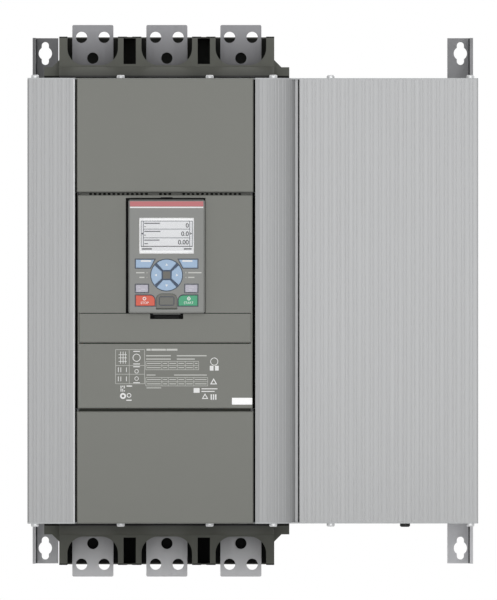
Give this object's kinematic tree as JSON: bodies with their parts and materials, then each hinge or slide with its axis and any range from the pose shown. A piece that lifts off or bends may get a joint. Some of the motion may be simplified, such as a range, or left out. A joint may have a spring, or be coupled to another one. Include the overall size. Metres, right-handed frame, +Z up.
{
  "type": "soft starter",
  "caption": "Wall-mounted soft starter for large motors: ribbed aluminium front, grey covers, keypad with display, shrouded busbar terminals and a built-in bypass box.",
  "frame": {"origin": "on the wall plane, at the middle of the four keyholes", "axes": "+X right as seen from the front, +Y into the wall, +Z up"},
  "size_m": [0.435, 0.381, 0.5374],
  "materials": {
    "zinc_plate": "zinc-plated sheet",
    "profile": "ribbed, satin anodised",
    "panel": "zinc-plated sheet",
    "screw": "bright zinc",
    "rubber": "black",
    "shroud": "fine grain",
    "tinned": "tin-plated copper",
    "cover": "fine grain",
    "black_plastic": "matt black",
    "keypad_shell": "silver-grey",
    "lens": "clear",
    "screen": "pale display",
    "circuit": "green solder mask",
    "red_strip": "red",
    "ring_blue": "dark blue",
    "key_blue": "pale blue",
    "key_grey": "lilac-grey",
    "key_red": "red",
    "key_green": "green",
    "terminal_green": "green",
    "heat_sink": "mill finish",
    "disc_cell": "glazed",
    "core_steel": "laminated sheet",
    "winding": "varnished",
    "contact": "copper",
    "transformer": "blue",
    "rod": "ground"
  },
  "bodies": {
    "enclosure": {"mounting_plate": "zinc_plate", "left_profile": "profile", "right_profile": "profile", "box_profile": "profile", "left_side_panel": "panel", "right_side_panel": "panel", "box_frame": "panel", "top_plate": "panel", "bottom_plate": "panel", "top_screws": "screw", "bottom_screws": "screw", "cable_plug": "rubber", "line_shroud": "shroud", "load_shroud": "shroud", "top_cover": "cover", "middle_cover": "cover", "bottom_cover": "cover", "keypad_holder": "black_plastic", "control_board": "circuit", "terminal_strip": "terminal_green", "thyristors": "disc_cell", "fan_1_housing": "black_plastic", "fan_2_housing": "black_plastic", "bypass_core": "core_steel", "bypass_coil": "winding", "current_transformers": "transformer", "guide_rods": "rod", "line_busbar_1": "tinned", "load_busbar_1": "tinned", "heat_sink_1": "heat_sink", "line_busbar_2": "tinned", "load_busbar_2": "tinned", "heat_sink_2": "heat_sink", "line_busbar_3": "tinned", "load_busbar_3": "tinned", "heat_sink_3": "heat_sink"},
    "keypad": {"keypad_bezel": "keypad_shell", "keypad_back": "keypad_shell", "display_window": "lens", "display_panel": "screen", "keypad_board": "circuit", "header_strip": "red_strip", "arrow_ring": "ring_blue"},
    "port_cover": {"port_cover": "keypad_shell"},
    "terminal_door": {"terminal_door": "cover"},
    "fan_1_rotor": {"fan_1_rotor": "black_plastic"},
    "fan_2_rotor": {"fan_2_rotor": "black_plastic"},
    "bypass_slider": {"bypass_crossbar": "black_plastic", "bypass_armature": "core_steel", "contact_bridges": "contact"},
    "left_soft_key": {"left_soft_key": "key_blue"},
    "right_soft_key": {"right_soft_key": "key_blue"},
    "up_key": {"up_key": "key_blue"},
    "down_key": {"down_key": "key_blue"},
    "left_key": {"left_key": "key_blue"},
    "right_key": {"right_key": "key_blue"},
    "info_key": {"info_key": "key_grey"},
    "mode_key": {"mode_key": "key_grey"},
    "stop_key": {"stop_key": "key_red"},
    "start_key": {"start_key": "key_green"}
  },
  "joints": [
    {"name": "keypad_pull", "type": "slide", "parent": "enclosure", "child": "keypad", "axis": [0, -1, 0], "range_m": [0, 0.04]},
    {"name": "port_cover_hinge", "type": "hinge", "parent": "keypad", "child": "port_cover", "pos_m": [-0.0832, -0.379, -0.0066], "axis": [1, 0, 0], "range_deg": [0, 95]},
    {"name": "terminal_door_hinge", "type": "hinge", "parent": "enclosure", "child": "terminal_door", "pos_m": [-0.0847, -0.371, -0.0388], "axis": [1, 0, 0], "range_deg": [0, 90]},
    {"name": "bypass_travel", "type": "slide", "parent": "enclosure", "child": "bypass_slider", "axis": [0, 1, 0], "range_m": [0, 0.0077], "stiffness_N_per_m": 1500},
    {"name": "fan_1_spin", "type": "hinge", "parent": "enclosure", "child": "fan_1_rotor", "pos_m": [-0.1471, -0.0635, -0.2138], "axis": [0, 0, 1], "continuous": true},
    {"name": "fan_2_spin", "type": "hinge", "parent": "enclosure", "child": "fan_2_rotor", "pos_m": [-0.022, -0.0635, -0.2138], "axis": [0, 0, 1], "continuous": true},
    {"name": "left_soft_key_press", "type": "slide", "parent": "keypad", "child": "left_soft_key", "axis": [0, 1, 0], "range_m": [0, 0.0008], "stiffness_N_per_m": 400},
    {"name": "right_soft_key_press", "type": "slide", "parent": "keypad", "child": "right_soft_key", "axis": [0, 1, 0], "range_m": [0, 0.0008], "stiffness_N_per_m": 400},
    {"name": "up_key_press", "type": "slide", "parent": "keypad", "child": "up_key", "axis": [0, 1, 0], "range_m": [0, 0.0008], "stiffness_N_per_m": 400},
    {"name": "down_key_press", "type": "slide", "parent": "keypad", "child": "down_key", "axis": [0, 1, 0], "range_m": [0, 0.0008], "stiffness_N_per_m": 400},
    {"name": "left_key_press", "type": "slide", "parent": "keypad", "child": "left_key", "axis": [0, 1, 0], "range_m": [0, 0.0008], "stiffness_N_per_m": 400},
    {"name": "right_key_press", "type": "slide", "parent": "keypad", "child": "right_key", "axis": [0, 1, 0], "range_m": [0, 0.0008], "stiffness_N_per_m": 400},
    {"name": "info_key_press", "type": "slide", "parent": "keypad", "child": "info_key", "axis": [0, 1, 0], "range_m": [0, 0.0008], "stiffness_N_per_m": 400},
    {"name": "mode_key_press", "type": "slide", "parent": "keypad", "child": "mode_key", "axis": [0, 1, 0], "range_m": [0, 0.0008], "stiffness_N_per_m": 400},
    {"name": "stop_key_press", "type": "slide", "parent": "keypad", "child": "stop_key", "axis": [0, 1, 0], "range_m": [0, 0.0008], "stiffness_N_per_m": 400},
    {"name": "start_key_press", "type": "slide", "parent": "keypad", "child": "start_key", "axis": [0, 1, 0], "range_m": [0, 0.0008], "stiffness_N_per_m": 400}
  ]
}
